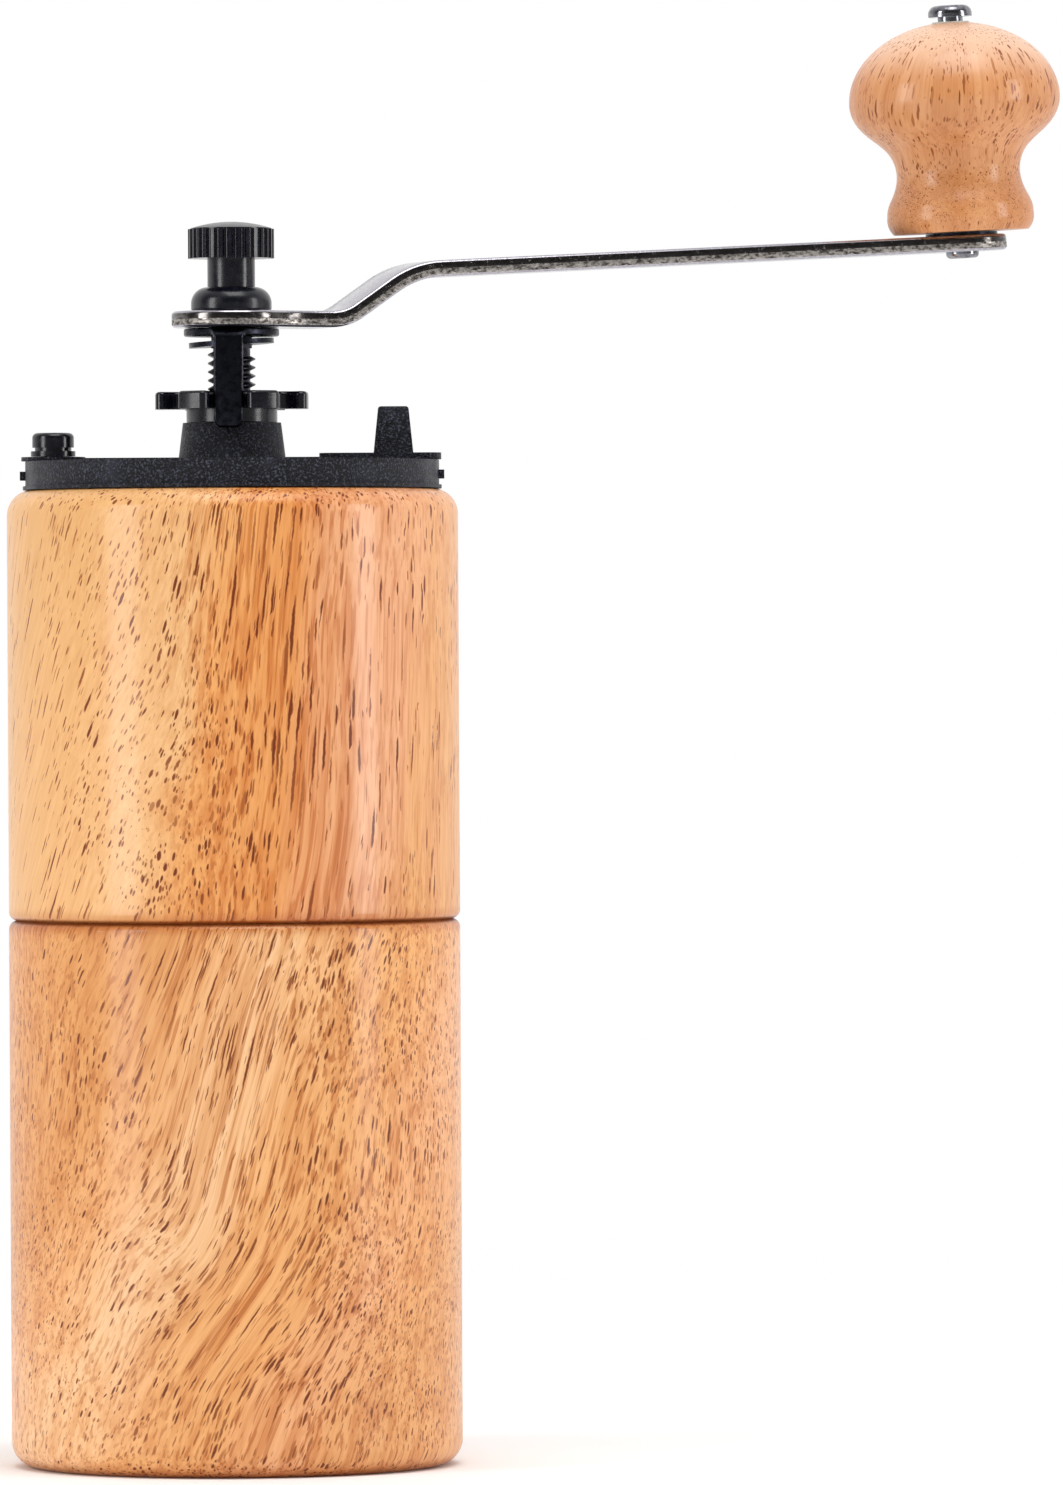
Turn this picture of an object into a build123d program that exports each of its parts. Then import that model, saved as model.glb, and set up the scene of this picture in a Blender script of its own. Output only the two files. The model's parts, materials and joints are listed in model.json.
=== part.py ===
from build123d import *

import math
import os

os.makedirs("parts", exist_ok=True)

# All sizes are in millimetres, +Z is up, and the origin is the centre of the base's underside.

# turned wooden body
body_radius = 30.75
cup_height = 74.4
hopper_height = 58.6
cup_wall = 8.5
hopper_wall = 8.0
cup_floor = 9.0
outer_round = 3.5
seam_round = 1.2

# clearances
press_clearance = 0.05
running_clearance = 0.05
slip_clearance = 0.2
face_gap = 0.1

# plastic carrier that holds the burr and plugs into the cup
spigot_length = 12.4
carrier_height = 26.0
carrier_wall = 3.25
carrier_top_wall = 1.5
carrier_relief = 0.3
throat_lip = 5.0
throat_height = 4.0
spider_hub_radius = 6.2
spider_arm_width = 2.4
spider_height = 7.0
spider_arm_height = 4.0
ring_cord = 1.9
ring_groove_width = 2.3
ring_squeeze_gap = 0.05
ring_below_seam = 6.0

# ceramic burrs
outer_burr_height = 16.0
outer_burr_wall = 3.9
outer_burr_flare = 2.6
outer_teeth = 24
grind_gap = 0.6
inner_burr_height = 19.0
inner_burr_top_radius = 7.2
inner_burr_wall = 2.0
inner_burr_lift = 0.5
inner_teeth = 9
inner_tooth_lean = 28.0
tooth_depth = 0.9

# retaining ring and its screws
retaining_ring_thickness = 1.6
screw_count = 3
screw_shank_radius = 0.9
screw_head_radius = 1.5
screw_head_height = 1.2
screw_depth = 4.4

# drive shaft
shaft_radius = 3.25
thread_pitch = 1.16
burr_flat_width = 5.0
drive_hex_width = 4.8
top_thread_radius = 2.0
top_thread_pitch = 0.7
hidden_thread = 3.6
visible_thread = 5.9
top_thread_length = 8.2
burr_screw_radius = 1.5
burr_washer_radius = 6.0
burr_washer_thickness = 1.0
bush_wall = 1.3
lower_bush_flange = 1.0

# spring between the spider and the burr
spring_wire = 0.9
spring_radius = 4.6
spring_turns = 4.5
spring_washer_thickness = 0.6

# black plastic top frame
rim_inset = 2.55
rim_height = 3.85
deck_thickness = 1.8
skirt_depth = 7.0
skirt_wall = 1.5
feed_ledge = 1.0
feed_edge_y = 6.0
boss_foot_radius = 7.35
boss_top_radius = 6.7
boss_height = 5.2
boss_depth = 6.5
lip_height = 0.5
lip_reach = 0.35
nub_reach = 0.7
nub_width = 3.0
nub_height = 1.2

# swinging lid over the feed opening
lid_thickness = 0.5
lid_inset = 3.0
lid_overlap = 1.6
lid_boss_gap = 1.0
lid_pivot_inset = 3.8
lid_eye_radius = 4.35
lid_eye_height = 0.55
lid_pad_height = 0.9
lid_pad_length = 16.6
lid_pad_overhang = 0.3
lid_pad_corner = 2.0
lid_pad_half_width = 3.2
tab_inset = 6.2
tab_foot_width = 5.4
tab_top_width = 4.1
tab_height = 6.35
tab_round = 0.4
tab_depth = 2.6

# stud that the lid turns on
stud_shank_radius = 1.5
stud_depth = 2.6
stud_washer_radius = 3.05
stud_washer_height = 0.7
stud_neck_radius = 2.5
stud_neck_height = 0.5
stud_head_radius = 2.85
stud_head_height = 2.0
stud_head_round = 0.7

# star-shaped adjusting nut
nut_collar_radius = 6.2
nut_collar_height = 1.75
nut_radius = 10.45
nut_flange_height = 2.4
nut_lobes = 6
nut_notch_side_gap = 0.65
nut_notch_floor_gap = 0.5
nut_notch_round = 1.3
nut_tip_round = 0.9
nut_edge_round = 0.5

# tilted spring washer, then the lock plate whose leg drops into a notch of the nut
split_washer_radius = 5.8
split_washer_thickness = 0.7
split_washer_tilt = 3.5
split_washer_slot = 1.0
lock_plate_radius = 6.5
lock_plate_thickness = 1.1
lock_plate_lift = 1.6
lock_leg_width = 3.9
lock_leg_azimuth = 268.0
lock_leg_below_nut = 0.85
lock_leg_boss_gap = 0.55
lock_leg_thickness = 1.0
lock_leg_bend = 1.6
lock_leg_blend = 1.6

# crank arm
crank_angle = 20.0
arm_thickness = 2.25
arm_hub_radius = 8.15
arm_hub_flat = 15.4
arm_rise = 6.85
arm_rise_run = 10.0
arm_slope = 2.95
arm_width = 10.4
arm_reach = 107.5
arm_pad_radius = 6.2
arm_hub_bend = 8.0
arm_top_bend = 12.0
arm_hub_blend = 12.0
arm_pad_blend = 28.0
arm_edge_round = 0.45

# cap nut that holds the arm down
cap_flange_radius = 5.5
cap_flange_height = 3.2
cap_neck_radius = 3.25
cap_neck_height = 3.9
cap_head_radius = 5.88
cap_head_height = 4.0
cap_crown_height = 1.0
cap_insert_wall = 0.6
cap_edge_round = 0.3
cap_bore_spare = 1.2
cap_insert_recess = 0.4
cap_grip_grooves = 30
cap_grip_radius = 0.38

# turned wooden knob on its axle
knob_height = 29.3
knob_foot_radius = 9.4
knob_rim_radius = 10.2
knob_rim_height = 2.6
knob_cove_radius = 9.3
knob_cove_height = 5.4
knob_waist_radius = 8.6
knob_waist_height = 8.2
knob_throat_radius = 9.5
knob_throat_height = 11.2
knob_flare_radius = 12.7
knob_flare_height = 14.2
knob_belly_radius = 14.7
knob_belly_height = 18.4
axle_radius = 1.75
axle_neck_height = 0.7
axle_head_radius = 3.05
axle_head_height = 1.6
axle_peen_radius = 2.3
axle_peen_height = 0.9
axle_end_round = 0.7
knob_washer_radius = 5.0
knob_washer_thickness = 0.4
sleeve_wall = 0.8

# places worked out from the sizes above
seam_z = cup_height
hopper_top = seam_z + hopper_height
cup_bore_radius = body_radius - cup_wall
hopper_bore_radius = body_radius - hopper_wall
spigot_radius = cup_bore_radius - slip_clearance
carrier_radius = hopper_bore_radius - press_clearance
carrier_bottom = seam_z - spigot_length
carrier_top = seam_z + carrier_height
burr_pocket_radius = spigot_radius - carrier_wall
outer_burr_radius = burr_pocket_radius - press_clearance
outer_burr_top = carrier_bottom + outer_burr_height
burr_bore_bottom = outer_burr_radius - outer_burr_wall
burr_bore_top = burr_bore_bottom - outer_burr_flare
throat_radius = burr_pocket_radius - throat_lip
funnel_radius = carrier_radius - carrier_top_wall
ring_groove_z = seam_z - ring_below_seam
inner_burr_bottom = carrier_bottom + inner_burr_lift
inner_burr_top = inner_burr_bottom + inner_burr_height
inner_burr_radius = burr_bore_bottom - grind_gap
hub_bottom = carrier_top - spider_height
bush_radius = shaft_radius + running_clearance + bush_wall
deck_z = hopper_top + rim_height
rim_radius = body_radius - rim_inset
skirt_radius = hopper_bore_radius - press_clearance
feed_radius = skirt_radius - skirt_wall - feed_ledge
boss_top = deck_z + boss_height
nut_bottom = boss_top + face_gap
nut_top = nut_bottom + nut_collar_height + nut_flange_height
shoulder_z = nut_top + visible_thread
lock_plate_z = shoulder_z + lock_plate_lift
lock_leg_z = nut_bottom - lock_leg_below_nut
lock_leg_foot = max(boss_top_radius + lock_leg_boss_gap, lock_plate_radius)
lock_leg_spread = (lock_leg_foot - lock_plate_radius) / (lock_plate_z - lock_leg_z)
nut_notch_floor = lock_plate_radius + lock_leg_spread * (lock_plate_z - nut_top) - nut_notch_floor_gap
arm_z = lock_plate_z + lock_plate_thickness + face_gap
cap_z = arm_z + arm_thickness + face_gap
lid_pivot_x = lid_pivot_inset - rim_radius
lid_z = deck_z + face_gap
pad_rise = arm_rise + (arm_reach - arm_hub_flat - arm_rise_run) * math.tan(math.radians(arm_slope))


def turned(points):
    """Solid of revolution about Z from (radius, height) points joined by straight lines."""
    return revolve(Plane.XZ * make_face(Polyline(*points, close=True)), Axis.Z)


def rod(radius, bottom, top):
    return Pos(0, 0, bottom) * Cylinder(radius, top - bottom, align=(Align.CENTER, Align.CENTER, Align.MIN))


def tube(outer, inner, bottom, top):
    return rod(outer, bottom, top) - rod(inner, bottom - 1, top + 1)


def hex_bar(across_flats, bottom, top):
    profile = RegularPolygon(across_flats / 2, 6, major_radius=False)
    return Pos(0, 0, bottom) * extrude(profile, top - bottom)


def block(low, high):
    size = [high[i] - low[i] for i in range(3)]
    centre = [(high[i] + low[i]) / 2 for i in range(3)]
    return Pos(*centre) * Box(*size)


def around(count, start=0.0):
    """Turns about Z that share a full circle evenly."""
    return [Rot(0, 0, start + 360 / count * i) for i in range(count)]


def round_edges(part, radius, heights):
    """Rounds the circular edges whose centres lie at the given heights, outermost edge of each height."""
    edges = []
    for height in heights:
        level = [e for e in part.edges().filter_by(GeomType.CIRCLE) if abs(e.arc_center.Z - height) < 0.01]
        edges.append(max(level, key=lambda e: e.radius))
    return fillet(edges, radius)


def threaded_rod(major, pitch, bottom, top):
    """Rod with a helical 60 degree ridge, its ends run out into the rod."""
    root = major - 0.61 * pitch
    helix = Pos(0, 0, bottom + pitch / 2) * Helix(pitch=pitch, height=top - bottom - pitch, radius=root)
    foot = 0.42 * pitch
    crest = 0.07 * pitch
    bite = 0.1 * pitch
    outline = Polyline((-bite, -foot), (major - root, -crest), (major - root, crest), (-bite, foot), close=True)
    start = Plane(origin=helix @ 0, x_dir=Vector(1, 0, 0), z_dir=helix % 0)
    ridge = sweep(start * make_face(outline), path=helix, is_frenet=True)
    return rod(root, bottom, top) + ridge


def make_cup_body():
    part = rod(body_radius, 0, seam_z) - rod(cup_bore_radius, cup_floor, seam_z + 1)
    part = round_edges(part, outer_round, [0])
    return round_edges(part, seam_round, [seam_z])


def make_hopper_body():
    part = tube(body_radius, hopper_bore_radius, seam_z, hopper_top)
    part = round_edges(part, outer_round, [hopper_top])
    return round_edges(part, seam_round, [seam_z])


def make_burr_carrier():
    shoulder = seam_z + face_gap
    relief_radius = min(spigot_radius, carrier_radius) - carrier_relief
    groove_floor = spigot_radius + ring_squeeze_gap - ring_cord
    groove_low = ring_groove_z - ring_groove_width / 2
    groove_high = ring_groove_z + ring_groove_width / 2
    throat_z = outer_burr_top + throat_height
    part = turned([
        (burr_pocket_radius, carrier_bottom),
        (spigot_radius, carrier_bottom),
        (spigot_radius, groove_low),
        (groove_floor, groove_low),
        (groove_floor, groove_high),
        (spigot_radius, groove_high),
        (spigot_radius, seam_z - face_gap),
        (relief_radius, seam_z - face_gap),
        (relief_radius, shoulder),
        (carrier_radius, shoulder),
        (carrier_radius, carrier_top),
        (funnel_radius, carrier_top),
        (throat_radius, throat_z),
        (throat_radius, outer_burr_top),
        (burr_pocket_radius, outer_burr_top),
    ])
    arm_length = funnel_radius + carrier_top_wall / 2
    arm = block((0, -spider_arm_width / 2, carrier_top - spider_arm_height),
                (arm_length, spider_arm_width / 2, carrier_top))
    hub = rod(spider_hub_radius, hub_bottom, carrier_top)
    for turn in around(3, 90):
        part += turn * arm
    part += hub
    part -= rod(bush_radius + press_clearance, hub_bottom - 1, carrier_top + 1)
    for turn in around(screw_count, 30):
        part -= turn * Pos(screw_circle(), 0, 0) * rod(screw_shank_radius + press_clearance,
                                                       carrier_bottom - 1, carrier_bottom + screw_depth)
    return part


def screw_circle():
    return (burr_pocket_radius + spigot_radius) / 2


def make_spigot_o_ring():
    centre = spigot_radius + ring_squeeze_gap - ring_cord / 2 + ring_squeeze_gap
    return Pos(0, 0, ring_groove_z) * Torus(centre, ring_cord / 2 - ring_squeeze_gap)


def burr_tooth(radius_low, radius_high, low, high, lean):
    """Square bar lying along a cone's surface, turned on edge so that it cuts a V groove."""
    rise = high - low
    length = math.hypot(rise, radius_high - radius_low) + 4
    angle = math.degrees(math.atan2(radius_high - radius_low, rise))
    side = tooth_depth * math.sqrt(2)
    bar = Rot(0, 0, 45) * Box(side, side, length)
    middle = Pos((radius_low + radius_high) / 2, 0, (low + high) / 2)
    return middle * Rot(0, angle, 0) * Rot(lean, 0, 0) * bar


def make_outer_burr():
    part = turned([
        (burr_bore_bottom, carrier_bottom),
        (outer_burr_radius, carrier_bottom),
        (outer_burr_radius, outer_burr_top - face_gap),
        (burr_bore_top, outer_burr_top - face_gap),
    ])
    tooth = burr_tooth(burr_bore_bottom, burr_bore_top, carrier_bottom, outer_burr_top, 0)
    for turn in around(outer_teeth):
        part -= turn * tooth
    return part


def make_inner_burr():
    core = rod(core_radius() + press_clearance, inner_burr_bottom - 1, inner_burr_top + 1)
    part = turned([
        (0, inner_burr_bottom),
        (inner_burr_radius, inner_burr_bottom),
        (inner_burr_top_radius, inner_burr_top),
        (0, inner_burr_top),
    ])
    tooth = burr_tooth(inner_burr_radius, inner_burr_top_radius, inner_burr_bottom, inner_burr_top, inner_tooth_lean)
    for turn in around(inner_teeth):
        part -= turn * tooth
    return part - core


def core_radius():
    return inner_burr_top_radius - tooth_depth - inner_burr_wall / 2


def make_burr_core():
    part = rod(core_radius(), inner_burr_bottom, inner_burr_top)
    return part - hex_bar(burr_flat_width + 2 * running_clearance, inner_burr_bottom - 1, inner_burr_top + 1)


def make_drive_shaft():
    hex_bottom = inner_burr_bottom
    hex_top = inner_burr_top
    thread_bottom = nut_bottom - hidden_thread
    drive_top = cap_z - face_gap
    part = hex_bar(burr_flat_width, hex_bottom, hex_top)
    part += rod(shaft_radius, hex_top, thread_bottom)
    part += threaded_rod(shaft_radius, thread_pitch, thread_bottom, shoulder_z)
    part += hex_bar(drive_hex_width, shoulder_z, drive_top)
    part += threaded_rod(top_thread_radius, top_thread_pitch, drive_top, drive_top + top_thread_length)
    return part - rod(burr_screw_radius + running_clearance, hex_bottom - 1, hex_bottom + 9)


def make_burr_washer():
    top = inner_burr_bottom
    return tube(burr_washer_radius, burr_screw_radius + running_clearance, top - burr_washer_thickness, top)


def make_burr_screw():
    head_top = inner_burr_bottom - burr_washer_thickness
    part = rod(burr_screw_radius, head_top - 0.1, inner_burr_bottom + 8)
    part += rod(2 * burr_screw_radius, head_top - 2, head_top)
    return part - hex_bar(2.5, head_top - 3, head_top - 0.8)


def make_spring_lower_washer():
    return tube(spring_radius + spring_wire, shaft_radius + slip_clearance,
                inner_burr_top, inner_burr_top + spring_washer_thickness)


def make_spring_upper_washer():
    return tube(spring_radius + spring_wire, shaft_radius + slip_clearance,
                hub_bottom - lower_bush_flange - spring_washer_thickness, hub_bottom - lower_bush_flange)


def make_burr_spring():
    bottom = inner_burr_top + spring_washer_thickness + spring_wire / 2 + face_gap
    top = hub_bottom - lower_bush_flange - spring_washer_thickness - spring_wire / 2 - face_gap
    helix = Pos(0, 0, bottom) * Helix(pitch=(top - bottom) / spring_turns, height=top - bottom, radius=spring_radius)
    start = Plane(origin=helix @ 0, x_dir=Vector(1, 0, 0), z_dir=helix % 0)
    return sweep(start * Circle(spring_wire / 2), path=helix, is_frenet=True)


def make_lower_bush():
    inner = shaft_radius + running_clearance
    part = tube(bush_radius, inner, hub_bottom, carrier_top)
    return part + tube(spider_hub_radius, inner, hub_bottom - lower_bush_flange, hub_bottom)


def make_upper_bush():
    return tube(bush_radius, shaft_radius + running_clearance, deck_z - boss_depth, boss_top)


def make_retaining_ring():
    part = tube(spigot_radius, burr_bore_bottom, carrier_bottom - retaining_ring_thickness, carrier_bottom)
    for turn in around(screw_count, 30):
        hole = rod(screw_shank_radius + press_clearance, carrier_bottom - 5, carrier_bottom + 1)
        part -= turn * Pos(screw_circle(), 0, 0) * hole
    return part


def make_retaining_ring_screws():
    head_top = carrier_bottom - retaining_ring_thickness
    screw = rod(screw_head_radius, head_top - screw_head_height, head_top)
    screw += rod(screw_shank_radius, head_top, carrier_bottom + screw_depth - 0.2)
    screw -= block((-screw_head_radius, -0.25, head_top - screw_head_height - 1),
                   (screw_head_radius, 0.25, head_top - screw_head_height / 2))
    return Part() + [turn * Pos(screw_circle(), 0, 0) * screw for turn in around(screw_count, 30)]


def make_top_frame():
    part = rod(rim_radius, hopper_top, deck_z)
    part += rod(rim_radius + lip_reach, hopper_top, hopper_top + lip_height)
    part += rod(skirt_radius, hopper_top - skirt_depth, hopper_top)
    part -= rod(skirt_radius - skirt_wall, hopper_top - skirt_depth - 1, deck_z - deck_thickness)
    feed = rod(feed_radius, deck_z - deck_thickness - 1, deck_z + 1)
    feed &= block((-rim_radius, feed_edge_y, hopper_top), (rim_radius, rim_radius, deck_z + 1))
    feed -= rod(boss_foot_radius + lid_boss_gap, deck_z - deck_thickness - 1, deck_z + 1)
    part -= feed
    part += rod(boss_foot_radius, deck_z - boss_depth, deck_z)
    part += turned([(0, deck_z), (boss_foot_radius, deck_z), (boss_top_radius, boss_top), (0, boss_top)])
    part -= rod(bush_radius + press_clearance, deck_z - boss_depth - 1, boss_top + 1)
    nub_middle = hopper_top + rim_height / 2
    part += block((-rim_radius - nub_reach, -nub_width / 2, nub_middle - nub_height / 2),
                  (-rim_radius + 1, nub_width / 2, nub_middle + nub_height / 2))
    part += block((rim_radius - 1, -nub_width / 2, nub_middle - nub_height / 2),
                  (rim_radius + nub_reach, nub_width / 2, nub_middle + nub_height / 2))
    return part - Pos(lid_pivot_x, 0, 0) * rod(stud_shank_radius + press_clearance, deck_z - stud_depth, deck_z + 1)


def make_hopper_lid():
    outline = Circle(rim_radius - lid_inset)
    outline &= Pos(0, feed_edge_y - lid_overlap + rim_radius) * Rectangle(2 * rim_radius, 2 * rim_radius)
    outline -= Circle(boss_foot_radius + lid_boss_gap)
    part = Pos(0, 0, lid_z) * extrude(outline, lid_thickness)
    part += Pos(lid_pivot_x, 0, 0) * rod(lid_eye_radius, lid_z, lid_z + lid_eye_height)
    neck_end = feed_edge_y - lid_overlap + lid_eye_radius
    part += block((lid_pivot_x, 0, lid_z), (lid_pivot_x + lid_eye_radius, neck_end, lid_z + lid_thickness))
    pad_end = rim_radius + lid_pad_overhang
    pad = Pos(pad_end - lid_pad_length / 2, 0) * RectangleRounded(lid_pad_length, 2 * lid_pad_half_width, lid_pad_corner)
    part += Pos(0, 0, lid_z) * extrude(pad, lid_pad_height)
    link = block((pad_end - lid_pad_length, 0, lid_z),
                 (rim_radius - lid_inset - 2, feed_edge_y, lid_z + lid_thickness))
    part += link
    tab_x = rim_radius - tab_inset
    foot = Rectangle(tab_foot_width, tab_depth)
    tip = Pos(0, 0, tab_height) * Rectangle(tab_top_width, tab_depth * tab_top_width / tab_foot_width)
    tab = Pos(tab_x, 0, lid_z + lid_pad_height) * loft([foot, tip])
    tab = fillet(tab.edges().sort_by(Axis.Z)[-4:], tab_round)
    part += tab
    return part - Pos(lid_pivot_x, 0, 0) * rod(stud_shank_radius + 2 * running_clearance, lid_z - 1, lid_z + 5)


def make_lid_stud():
    washer_z = lid_z + lid_eye_height + face_gap
    neck_z = washer_z + stud_washer_height
    head_z = neck_z + stud_neck_height
    part = rod(stud_shank_radius, deck_z - stud_depth, neck_z)
    part += rod(stud_washer_radius, washer_z, neck_z)
    part += rod(stud_neck_radius, neck_z, head_z)
    head = rod(stud_head_radius, head_z, head_z + stud_head_height)
    head = round_edges(head, stud_head_round, [head_z + stud_head_height])
    return Pos(lid_pivot_x, 0, 0) * (part + head)


def make_adjusting_nut():
    flange_z = nut_bottom + nut_collar_height
    flange = rod(nut_radius, flange_z, nut_top)
    half_notch = lock_leg_width / 2 + nut_notch_side_gap
    notch = block((nut_notch_floor, -half_notch, flange_z - 1), (2 * nut_radius, half_notch, nut_top + 1))
    notch = fillet(notch.edges().filter_by(Axis.Z).sort_by(Axis.X)[:2], nut_notch_round)
    for turn in around(nut_lobes, lock_leg_azimuth):
        flange -= turn * notch
    tips = [e for e in flange.edges().filter_by(Axis.Z) if abs(math.hypot(e.center().X, e.center().Y) - nut_radius) < 0.1]
    flange = fillet(tips, nut_tip_round)
    flange = fillet(flange.faces().sort_by(Axis.Z)[-1].edges(), nut_edge_round)
    collar = rod(nut_collar_radius, nut_bottom, flange_z + nut_flange_height)
    return flange + collar - rod(shaft_radius + running_clearance, nut_bottom - 1, nut_top + 1)


def make_spring_washer():
    ring = tube(split_washer_radius, drive_hex_width / math.sqrt(3) + slip_clearance, 0, split_washer_thickness)
    ring -= block((0, 0, -1), (split_washer_slot, split_washer_radius + 1, split_washer_thickness + 1))
    rise = split_washer_radius * math.sin(math.radians(split_washer_tilt))
    return Pos(0, 0, shoulder_z + rise + 0.02) * Rot(0, -split_washer_tilt, 0) * ring


def make_lock_plate():
    plate_top = lock_plate_z + lock_plate_thickness
    disc = rod(lock_plate_radius, lock_plate_z, plate_top)
    reach = lock_plate_radius + lock_leg_thickness
    foot = lock_leg_foot + lock_leg_thickness
    side = make_face(Polyline(
        (0, plate_top),
        (reach, plate_top),
        (foot, lock_leg_z),
        (lock_leg_foot, lock_leg_z),
        (lock_plate_radius, lock_plate_z),
        (0, lock_plate_z),
        close=True,
    ))
    outer_corner = side.vertices().sort_by_distance((reach, plate_top, 0))[0]
    side = fillet(outer_corner, lock_leg_bend)
    inner_corner = side.vertices().sort_by_distance((lock_plate_radius, lock_plate_z, 0))[0]
    side = fillet(inner_corner, lock_leg_bend - lock_leg_thickness)
    leg = extrude(Plane.XZ * side, lock_leg_width / 2, both=True)
    front = lock_leg_width / 2 + lock_leg_blend
    shoulder_x = math.sqrt(lock_plate_radius ** 2 - front ** 2)
    flare = Polyline((shoulder_x, -front), (lock_plate_radius, -lock_leg_width / 2),
                     (lock_plate_radius, lock_leg_width / 2), (shoulder_x, front), close=True)
    disc += Pos(0, 0, lock_plate_z) * extrude(make_face(flare), lock_plate_thickness)
    part = Rot(0, 0, lock_leg_azimuth) * (disc + leg)
    return part - hex_bar(drive_hex_width + 2 * running_clearance, lock_plate_z - 1, plate_top + 1)


def place_on_arm(part):
    return Rot(0, 0, crank_angle) * part


def place_on_pad(part):
    """Moves a part drawn about Z to the knob end, its origin on the pad's top face."""
    pad_foot = Pos(arm_reach, 0, arm_z + pad_rise) * Rot(0, -arm_slope, 0) * Pos(0, 0, arm_thickness)
    return place_on_arm(pad_foot * part)


def make_crank_arm():
    end = arm_reach + 2 * arm_pad_radius
    end_rise = pad_rise + 2 * arm_pad_radius * math.tan(math.radians(arm_slope))
    lower = FilletPolyline(
        (-2 * arm_hub_radius, 0),
        (arm_hub_flat, 0),
        (arm_hub_flat + arm_rise_run, arm_rise),
        (end, end_rise),
        radius=[arm_hub_bend, arm_top_bend],
    )
    section = make_face(offset(lower, amount=arm_thickness, side=Side.LEFT))
    strip = Pos(0, 0, arm_z) * extrude(Plane.XZ * section, 2 * arm_hub_radius, both=True)
    plan = Circle(arm_hub_radius)
    plan += Pos(arm_reach / 2, 0) * Rectangle(arm_reach, arm_width)
    plan += Pos(arm_reach, 0) * Circle(arm_pad_radius)
    plan = fillet(plan.vertices().sort_by(Axis.X)[:2], arm_hub_blend)
    pad_corners = [v for v in plan.vertices() if v.X > arm_reach - arm_pad_radius]
    plan = fillet(pad_corners, arm_pad_blend)
    part = strip & extrude(plan, 2 * arm_z)
    top_edges = [e for f in part.faces() if f.normal_at().Z > 0.5 for e in f.edges()]
    side_edges = [e for f in part.faces() if abs(f.normal_at().Z) < 0.3 for e in f.edges()]
    rim = [e for e in top_edges if any(e.is_same(s) for s in side_edges)]
    part = fillet(rim, arm_edge_round)
    part = place_on_arm(part)
    part -= hex_bar(drive_hex_width + 2 * running_clearance, arm_z - 1, arm_z + arm_thickness + 1)
    return part - place_on_pad(rod(axle_radius + press_clearance, -2 * arm_thickness, arm_thickness))


def make_cap_nut():
    neck_z = cap_z + cap_flange_height
    head_z = neck_z + cap_neck_height
    head_top = head_z + cap_head_height
    flange = rod(cap_flange_radius, cap_z, neck_z)
    flange = round_edges(flange, cap_flange_radius - cap_neck_radius, [neck_z])
    flange = round_edges(flange, cap_edge_round, [cap_z])
    neck = rod(cap_neck_radius, neck_z, head_z)
    head = rod(cap_head_radius, head_z, head_top)
    crown_radius = (cap_head_radius ** 2 + cap_crown_height ** 2) / (2 * cap_crown_height)
    crown = Pos(0, 0, head_top + cap_crown_height - crown_radius) * Sphere(crown_radius)
    crown &= rod(cap_head_radius, head_top, head_top + 2 * cap_crown_height)
    for turn in around(cap_grip_grooves):
        head -= turn * Pos(cap_head_radius, 0, 0) * rod(cap_grip_radius, head_z - 1, head_top + 1)
    crown &= rod(cap_head_radius - cap_grip_radius, head_top, head_top + 2 * cap_crown_height)
    return flange + neck + head + crown - rod(cap_insert_radius() + press_clearance, cap_z - 1, cap_bore_top())


def cap_insert_radius():
    return top_thread_radius + running_clearance + cap_insert_wall


def cap_bore_top():
    return cap_z + face_gap + top_thread_length + cap_bore_spare


def make_cap_nut_insert():
    return tube(cap_insert_radius(), top_thread_radius + running_clearance, cap_z, cap_bore_top() - cap_insert_recess)


def make_handle_knob():
    foot = ThreePointArc(
        (knob_foot_radius, 0),
        ((knob_foot_radius + 3 * knob_rim_radius) / 4, knob_rim_height / 3),
        (knob_rim_radius, knob_rim_height),
    )
    side = Spline(
        (knob_rim_radius, knob_rim_height),
        (knob_cove_radius, knob_cove_height),
        (knob_waist_radius, knob_waist_height),
        (knob_throat_radius, knob_throat_height),
        (knob_flare_radius, knob_flare_height),
        (knob_belly_radius, knob_belly_height),
        tangents=[(0, 1), (0, 1)],
    )
    dome_height = knob_height - knob_belly_height
    dome = EllipticalCenterArc((0, knob_belly_height), knob_belly_radius, dome_height, start_angle=0, arc_size=90)
    close = Polyline((0, knob_height), (0, 0), (knob_foot_radius, 0))
    outline = Wire(foot.edges() + side.edges() + dome.edges() + close.edges())
    part = revolve(Plane.XZ * make_face(outline), Axis.Z)
    part -= rod(sleeve_radius() + press_clearance, -1, knob_height + 1)
    return place_on_pad(Pos(0, 0, knob_washer_thickness + face_gap) * part)


def sleeve_radius():
    return axle_radius + running_clearance + sleeve_wall


def make_knob_sleeve():
    start = knob_washer_thickness + face_gap
    return place_on_pad(tube(sleeve_radius(), axle_radius + running_clearance, start, start + knob_height))


def make_knob_washer():
    return place_on_pad(tube(knob_washer_radius, axle_radius + running_clearance, 0, knob_washer_thickness))


def make_knob_axle():
    neck_top = knob_washer_thickness + face_gap + knob_height + axle_neck_height
    part = rod(axle_radius, -arm_thickness, neck_top)
    head = rod(axle_head_radius, neck_top, neck_top + axle_head_height)
    head = round_edges(head, axle_head_height * axle_end_round, [neck_top + axle_head_height])
    peen = rod(axle_peen_radius, -arm_thickness - axle_peen_height, -arm_thickness)
    peen = round_edges(peen, axle_peen_height * axle_end_round, [-arm_thickness - axle_peen_height])
    return place_on_pad(part + head + peen)


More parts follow.
